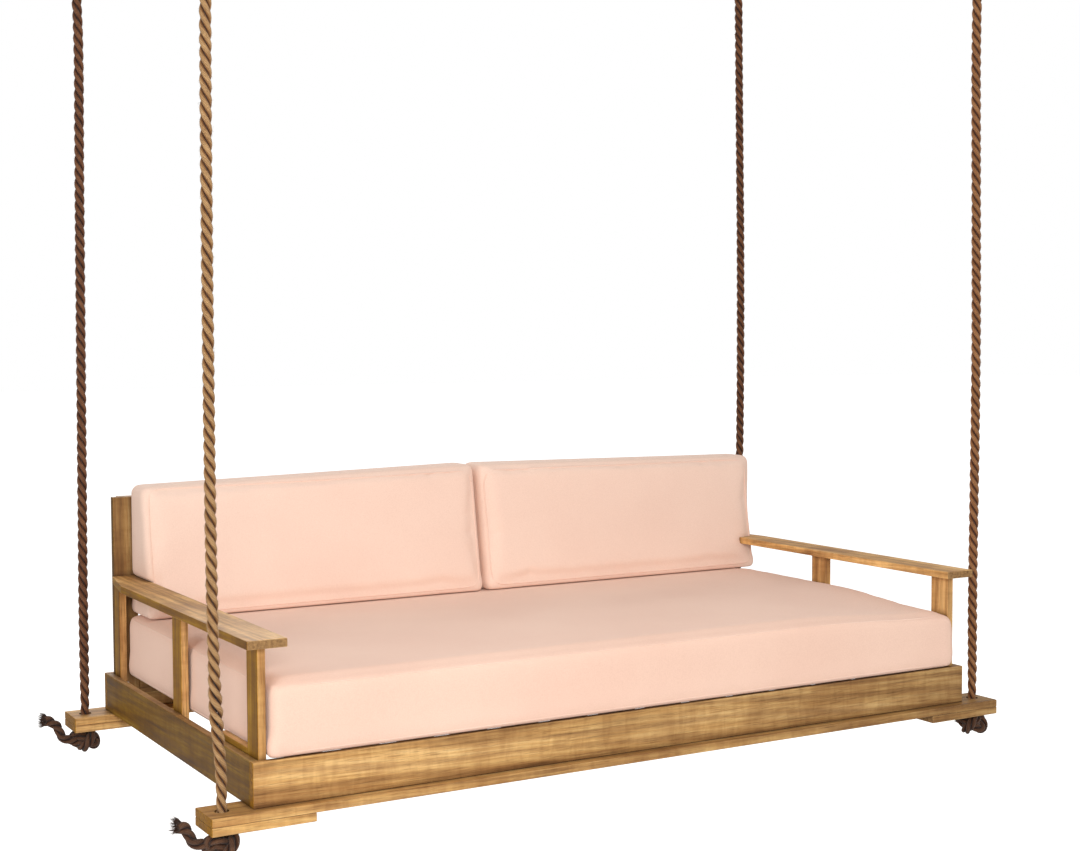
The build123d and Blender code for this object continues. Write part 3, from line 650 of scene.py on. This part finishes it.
def make_knot(corner):
    x, y = rope_axis(corner)
    side = -1 if x < 0 else 1
    top = mouth_z(corner)
    middle = np.array([x, y, top - 0.031])
    spin = KNOT_SPIN[corner]
    loop = []
    for i in range(31):
        t = 2 * math.pi * i / 30
        px, py = math.sin(t) + 2 * math.sin(2 * t), math.cos(t) - 2 * math.cos(2 * t)
        turned = (px * math.cos(spin) - py * math.sin(spin), px * math.sin(spin) + py * math.cos(spin))
        loop.append(middle + np.array([turned[0] * 0.0108, turned[1] * 0.0108, -0.0166 * math.sin(3 * t)]))
    shape = Shape()
    lay_rope(shape, nurbs_line(loop), 0.0126, phase=spin, fuzz=900.0, step=0.003, lay=0.078)
    stub = nurbs_line([(x, y, top + 0.003), (x, y, top - 0.012), (x, y, top - 0.028)])
    lay_rope(shape, stub, 0.0125, phase=1.0, fuzz=0.0, step=0.003)
    points, brush = TAILS[corner]
    tail = nurbs_line([middle + np.array([side * p[0], p[1], p[2]]) for p in points])
    line, at = spaced(tail, 0.003)
    swell = 0.0126 + 0.0030 * np.clip((at - at[-1] + 0.030) / 0.030, 0, 1)
    lay_rope(shape, line, swell, phase=2.0, fuzz=1200.0, step=at[1], lay=0.082)
    end = line[-1]
    ahead, across, other = (v[-1] for v in carried_frames(line))
    turn = rng.uniform(0, 2 * math.pi, brush)
    out = np.sqrt(rng.uniform(0, 1, brush))
    radial = across[None] * np.cos(turn)[:, None] + other[None] * np.sin(turn)[:, None]
    base = end + radial * (out * 0.0125)[:, None] - ahead * 0.006
    reach = rng.uniform(0.010, 0.021, brush)[:, None]
    tip = base + ahead * reach + radial * (out * 0.008)[:, None] + rng.normal(0, 0.0022, (brush, 3))
    shape.spikes(base, tip, radial * 0.0015 + rng.normal(0, 0.0008, (brush, 3)), 0.0006)
    knot = shape.make("rope_knot_tied_" + corner, KNOT)
    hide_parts("rope_knot_" + corner)
    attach(knot, "seat")
    return knot


for corner in CORNERS:
    eye, whipping = make_eye(corner)
    knot = make_knot(corner)
    make_rope(corner)


# ---- cushions -----------------------------------------------------------------------
def copy_of(node, name):
    obj = bpy.data.objects.new(name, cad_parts[node].data.copy())
    bpy.context.scene.collection.objects.link(obj)
    obj.data.materials.clear()
    return obj


def apply_modifiers(obj):
    """Turns what the modifiers give into the object's own mesh."""
    graph = bpy.context.evaluated_depsgraph_get()
    mesh = bpy.data.meshes.new_from_object(obj.evaluated_get(graph))
    old = obj.data
    obj.modifiers.clear()
    obj.data = mesh
    bpy.data.meshes.remove(old)


def coords(mesh):
    co = np.empty(len(mesh.vertices) * 3)
    mesh.vertices.foreach_get("co", co)
    return co.reshape(-1, 3)


def set_coords(mesh, co):
    mesh.vertices.foreach_set("co", np.ascontiguousarray(co).ravel())
    mesh.update()


def inflate(obj, voxel, inset, pressure, cap, pull=0.003):
    """Blows a slightly smaller copy up as cloth under pressure. No point moves outwards past a
    cap, and none moves inwards or sideways past a smaller one."""
    low, high = (np.array(c) for c in (coords(obj.data).min(axis=0), coords(obj.data).max(axis=0)))
    middle = (low + high) / 2
    shrink = 1 - 2 * np.array(inset) / (high - low)
    set_coords(obj.data, middle + (coords(obj.data) - middle) * shrink)
    remesh = obj.modifiers.new("remesh", "REMESH")
    remesh.mode = "VOXEL"
    remesh.voxel_size = voxel
    smooth = obj.modifiers.new("smooth", "SMOOTH")
    smooth.iterations = 2
    apply_modifiers(obj)
    rest = coords(obj.data)
    normal = np.empty(rest.size)
    obj.data.vertices.foreach_get("normal", normal)
    normal = normal.reshape(-1, 3)
    cloth = obj.modifiers.new("cloth", "CLOTH")
    cloth.settings.quality = 4
    cloth.settings.mass = 0.3
    cloth.settings.tension_stiffness = 18
    cloth.settings.compression_stiffness = 18
    cloth.settings.shear_stiffness = 8
    cloth.settings.bending_stiffness = 2.0
    cloth.settings.use_pressure = True
    cloth.settings.uniform_pressure_force = pressure
    cloth.settings.effector_weights.gravity = 0.0
    cloth.point_cache.frame_start = 1
    cloth.point_cache.frame_end = 20
    scene = bpy.context.scene
    for step in range(1, 21):
        scene.frame_set(step)
    blown = obj.evaluated_get(bpy.context.evaluated_depsgraph_get())
    moved = coords(blown.data) - rest
    obj.modifiers.clear()
    scene.frame_set(1)
    along = np.sum(moved * normal, axis=1, keepdims=True)
    across = moved - along * normal
    limit_at = np.where(along > 0, cap, pull)
    along = limit_at * np.tanh(along / limit_at)
    size = np.linalg.norm(across, axis=1, keepdims=True)
    across *= pull * np.tanh(size / pull) / np.maximum(size, 1e-9)
    set_coords(obj.data, rest + along * normal + across)


def soften(obj, rounds):
    smooth = obj.modifiers.new("smooth", "SMOOTH")
    smooth.iterations = rounds
    apply_modifiers(obj)


def step_up(x, low, high):
    t = np.clip((x - low) / (high - low), 0, 1)
    return t * t * (3 - 2 * t)


def limit(value, bound, soft, sign):
    """Holds values on one side of a bound, easing into it over a soft distance."""
    over = sign * (value - bound) + soft
    eased = soft * (1 - np.exp(-np.maximum(over, 0) / soft))
    return np.where(over > 0, bound + sign * (eased - soft), value)


def settle_on(co, node, weight):
    """Draws points towards the surface of a CAD solid, where a cushion rests on something."""
    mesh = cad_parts[node].data
    tree = BVHTree.FromPolygons([v.co[:] for v in mesh.vertices], [p.vertices[:] for p in mesh.polygons])
    for i in np.nonzero(weight > 0.01)[0]:
        spot = tree.find_nearest(Vector(co[i]))[0]
        co[i] += (np.array(spot[:]) - co[i]) * weight[i]
    return co


def flatten_foot(co, floor, depth):
    """Squares off the rounded foot of a cushion, where its weight presses it flat."""
    rise = co[:, 2] - floor
    foot = (rise > 0) & (rise < depth)
    co[foot, 2] = floor + rise[foot] ** 2 / depth
    return co


def subdivide(obj):
    modifier = obj.modifiers.new("fine", "SUBSURF")
    modifier.levels = 1
    modifier.render_levels = 1
    apply_modifiers(obj)


def dress(obj, node, material=FABRIC):
    obj.data.materials.append(material)
    obj.data.polygons.foreach_set("use_smooth", [True] * len(obj.data.polygons))
    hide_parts(node)
    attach(obj, "seat")


def clear_of(co, boxes, gap):
    """Pushes points out of boxes, each through its nearest face."""
    for low, high in boxes:
        low, high = np.array(low) - gap, np.array(high) + gap
        inside = np.all((co > low) & (co < high), axis=1)
        if not inside.any():
            continue
        inner = co[inside]
        depth = np.concatenate([inner - low, high - inner], axis=1)
        face = depth.argmin(axis=1)
        for k in range(6):
            hit = face == k
            inner[hit, k % 3] = low[k] if k < 3 else high[k - 3]
        co[inside] = inner
    return co


def loop_on(obj, points, radius, name, lift=0.0):
    """A welt: a thin tube along a closed loop of points, laid on the surface of a cushion."""
    mesh = obj.data
    tree = BVHTree.FromPolygons([v.co[:] for v in mesh.vertices], [p.vertices[:] for p in mesh.polygons])
    laid = []
    for p in points:
        spot, normal, _, _ = tree.find_nearest(Vector(p))
        laid.append(spot + normal * lift)
    laid = np.array([v[:] for v in laid])
    for _ in range(3):
        laid = (np.roll(laid, 1, axis=0) + laid * 2 + np.roll(laid, -1, axis=0)) / 4
    line, at = spaced(np.concatenate([laid, laid[:1]]), 0.006)
    shape = Shape()
    shape.tube(line, radius, 8, None, at)
    welt = shape.make(name, PIPING)
    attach(welt, "seat")
    return welt


def rounded_loop(width, height, corner, step=0.012):
    """Points round a rectangle with rounded corners, centred on the origin."""
    points = []
    w, h = width / 2 - corner, height / 2 - corner
    for k, (cx, cy) in enumerate(((w, h), (-w, h), (-w, -h), (w, -h))):
        for i in range(9):
            a = math.pi / 2 * (k + i / 8)
            points.append((cx + corner * math.cos(a), cy + corner * math.sin(a)))
    flat = np.array([(*p, 0.0) for p in points + points[:1]])
    line, _ = spaced(flat, step)
    return line[:-1, :2]


seat_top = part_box("mattress")[1][2]
deck_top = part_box("mattress")[0][2]
post_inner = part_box("arm_post_front_left")[1][0]
stile_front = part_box("back_stile_left")[0][1]


MATTRESS_SLUMP = 0.020        # how far the top sinks at the front right corner
NOSE = 0.027                  # how far that corner swells sideways in front of its post


def make_mattress():
    low, high = (np.array(c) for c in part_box("mattress"))
    pad = copy_of("mattress", "mattress_cushion")
    inflate(pad, 0.011, (0.001, 0.000, 0.000), 3.2, 0.006)
    soften(pad, 1)
    co = coords(pad.data)
    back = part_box("back_cushion_left")[0][1] + 0.030
    slump = step_up(co[:, 0], high[0] - 0.50, high[0] - 0.03)
    slump = slump * step_up(-co[:, 1], -low[1] - 0.42, -low[1] - 0.03)
    rise = np.clip((co[:, 2] - low[2]) / (high[2] - low[2]), 0, 1)
    co[:, 2] -= MATTRESS_SLUMP * slump * rise
    under = step_up(co[:, 1], back - 0.10, back)
    top = seat_top + 0.010 * (1 - under) - 0.0015 * under
    co[:, 2] = limit(co[:, 2], top, 0.004, 1)
    co[:, 2] = limit(co[:, 2], deck_top + 0.0006, 0.002, -1)
    co[:, 0] = limit(co[:, 0], post_inner + 0.0015, 0.003, -1)
    co[:, 0] = limit(co[:, 0], -post_inner - 0.0015, 0.003, 1)
    co = settle_on(co, "mattress", 1 - step_up(co[:, 2] - low[2], 0.012, 0.070))
    co = flatten_foot(co, deck_top + 0.0006, 0.024)
    nose = step_up(co[:, 0], high[0] - 0.110, high[0] - 0.012)
    nose = nose * (1 - step_up(co[:, 1], low[1] + 0.012, low[1] + 0.050))
    co[:, 0] += NOSE * nose * np.sin(math.pi * np.clip(rise * 0.80 + 0.12, 0, 1)) ** 0.5
    # a squarer foot at the front left corner, where the deck is open below
    edge = 1 - step_up(np.abs(co[:, 0] - low[0]), 0.010, 0.036)
    edge = edge * (1 - step_up(co[:, 1] - low[1], 0.010, 0.036))
    edge = edge * (1 - step_up(co[:, 2] - low[2], 0.020, 0.060))
    co[:, :2] -= 0.008 * edge[:, None]
    set_coords(pad.data, clear_of(co, [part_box("arm_post_front_right")], 0.0012))
    subdivide(pad)
    dress(pad, "mattress")
    middle = (low + high) / 2
    loop = rounded_loop(high[0] - low[0] - 0.014, high[1] - low[1] - 0.014, 0.045)
    for name, z in (("top", high[2] - 0.012), ("bottom", low[2] + 0.012)):
        points = [(middle[0] + p[0], middle[1] + p[1], z) for p in loop]
        loop_on(pad, points, 0.0016, "mattress_seam_" + name, -0.0004)


CUSHION_LEAN = (0.948 - 0.886) / (0.618 - 0.262)   # the front face, back over up


def plug_notch(obj, foot, lean, base, arm):
    """Fills the arm's notch, so that the cover closes over the arm's end as the padding would."""
    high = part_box("back_cushion_right")[1]
    z = (arm[0][2] - 0.012, arm[1][2] + 0.012)
    x = (arm[0][0] - 0.012, high[0])
    front = [foot + lean * (v - base) for v in z]
    verts = [(a, b, z[k]) for k in range(2) for a, b in
             ((x[0], front[k]), (x[1], front[k]), (x[1], high[1]), (x[0], high[1]))]
    faces = [(3, 2, 1, 0), (4, 5, 6, 7), (0, 1, 5, 4), (1, 2, 6, 5), (2, 3, 7, 6), (3, 0, 4, 7)]
    count = len(obj.data.vertices)
    old = [p.vertices[:] for p in obj.data.polygons]
    points = [v.co[:] for v in obj.data.vertices]
    joined = bpy.data.meshes.new(obj.name)
    joined.from_pydata(points + verts, [], old + [tuple(i + count for i in f) for f in faces])
    obj.data = joined


def make_back_cushion(side):
    node = "back_cushion_" + side
    low, high = (np.array(c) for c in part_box(node))
    cushion = copy_of(node, node + "_soft")
    foot = low[1] + 0.004
    lean = CUSHION_LEAN
    if side == "right":
        plug_notch(cushion, foot, lean, low[2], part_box("arm_right"))
    inflate(cushion, 0.009, (0.001, 0.002, 0.001), 3.6, 0.010)
    soften(cushion, 1)
    co = coords(cushion.data)
    span = np.clip((co[:, 0] - low[0]) / (high[0] - low[0]), 0, 1)
    tall = step_up(co[:, 2], low[2] + 0.10, high[2] - 0.02)
    ends = (-0.012, 0.009) if side == "left" else (0.008, -0.004)
    co[:, 2] += tall * (ends[0] + (ends[1] - ends[0]) * span)
    co = settle_on(co, node, 1 - step_up(co[:, 2] - low[2], 0.010, 0.050))
    co[:, 2] = limit(co[:, 2], seat_top + 0.0008, 0.003, -1)
    co = flatten_foot(co, seat_top + 0.0008, 0.022)
    co[:, 1] = limit(co[:, 1], stile_front - 0.002, 0.004, 1)
    gap = 0.0012
    if side == "left":
        co[:, 0] = limit(co[:, 0], high[0] + gap, 0.004, 1)
        co[:, 0] = limit(co[:, 0], low[0] - 0.008, 0.004, -1)
    else:
        co[:, 0] = limit(co[:, 0], low[0] - gap, 0.004, -1)
        co[:, 0] = limit(co[:, 0], high[0] + 0.008, 0.004, 1)
        upper = step_up(co[:, 2], low[2] + 0.16, high[2])
        co[:, 0] += 0.020 * upper * step_up(co[:, 0], high[0] - 0.16, high[0] - 0.01)
    boxes = [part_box("arm_post_rear_" + side)]
    if side == "left":
        boxes.append(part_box("arm_left"))
    set_coords(cushion.data, clear_of(co, boxes, 0.0015))
    subdivide(cushion)
    dress(cushion, node, BACK_FABRIC)
    loop = rounded_loop(high[0] - low[0] - 0.030, high[2] - low[2] - 0.030, 0.030)
    middle = (low + high) / 2
    front = []
    for px, pz in loop:
        z = middle[2] + pz
        front.append((middle[0] + px, foot + lean * (z - low[2]) - 0.010, z))
    loop_on(cushion, front, 0.0021, node + "_welt_front")
    rear = [(middle[0] + px, high[1] + 0.010, middle[2] + pz) for px, pz in loop]
    loop_on(cushion, rear, 0.0021, node + "_welt_back")


make_mattress()
make_back_cushion("left")
make_back_cushion("right")


# ---- stage --------------------------------------------------------------------------
def add_floor():
    shape = bpy.data.meshes.new("floor")
    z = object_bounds()[0][2] - 0.30
    shape.from_pydata([(-40, -40, z), (40, -40, z), (40, 40, z), (-40, 40, z)], [], [(0, 1, 2, 3)])
    floor = bpy.data.objects.new("floor", shape)
    bpy.context.scene.collection.objects.link(floor)
    g = Graph("pale_floor")
    seen = g.add("LightPath").outputs["Is Camera Ray"]
    glow = g.maths("MULTIPLY", seen, 0.80)
    shape.materials.append(g.finish(Base_Color=srgb(225, 224, 222), Roughness=0.9, Specular_IOR_Level=0.1,
                                    Emission_Color=(1, 1, 1, 1), Emission_Strength=glow))


def area_light(name, place, target, size, power, colour=(1, 1, 1)):
    data = bpy.data.lights.new(name, "AREA")
    data.shape = "RECTANGLE"
    data.size, data.size_y = size
    data.energy = power
    data.color = colour
    light = bpy.data.objects.new(name, data)
    light.visible_camera = False
    light.matrix_world = Matrix.Translation(place) @ (
        Vector(target) - Vector(place)).to_track_quat("-Z", "Y").to_matrix().to_4x4()
    bpy.context.scene.collection.objects.link(light)


def add_light():
    world = bpy.data.worlds.new("studio")
    bpy.context.scene.world = world
    world.use_nodes = True
    tree = world.node_tree
    tree.nodes.clear()
    seen = tree.nodes.new("ShaderNodeBackground")
    seen.inputs[0].default_value = (1, 1, 1, 1)
    seen.inputs[1].default_value = 1.0
    soft = tree.nodes.new("ShaderNodeBackground")
    soft.inputs[0].default_value = (1.0, 0.99, 0.98, 1)
    soft.inputs[1].default_value = 0.52
    ray = tree.nodes.new("ShaderNodeLightPath")
    pick = tree.nodes.new("ShaderNodeMixShader")
    out = tree.nodes.new("ShaderNodeOutputWorld")
    tree.links.new(ray.outputs["Is Camera Ray"], pick.inputs[0])
    tree.links.new(soft.outputs[0], pick.inputs[1])
    tree.links.new(seen.outputs[0], pick.inputs[2])
    tree.links.new(pick.outputs[0], out.inputs[0])
    area_light("key", (-2.2, -4.6, -0.7), (-0.1, 0, -2.2), (1.5, 1.3), 142, (1.0, 0.992, 0.98))
    area_light("above", (-0.4, -1.0, -0.1), (-0.2, 0.1, -2.2), (1.6, 1.0), 5)
    area_light("side", (-4.2, -0.9, -1.3), (-1.0, 0, -2.2), (1.8, 1.4), 24)
    area_light("fill", (3.2, -3.4, -0.9), (0.4, 0, -2.1), (2.4, 2.0), 12)
    area_light("back", (0.5, 3.6, -0.2), (0, 0, -1.9), (3.0, 1.5), 40)


add_floor()
add_light()
bpy.context.scene.view_settings.view_transform = "Standard"
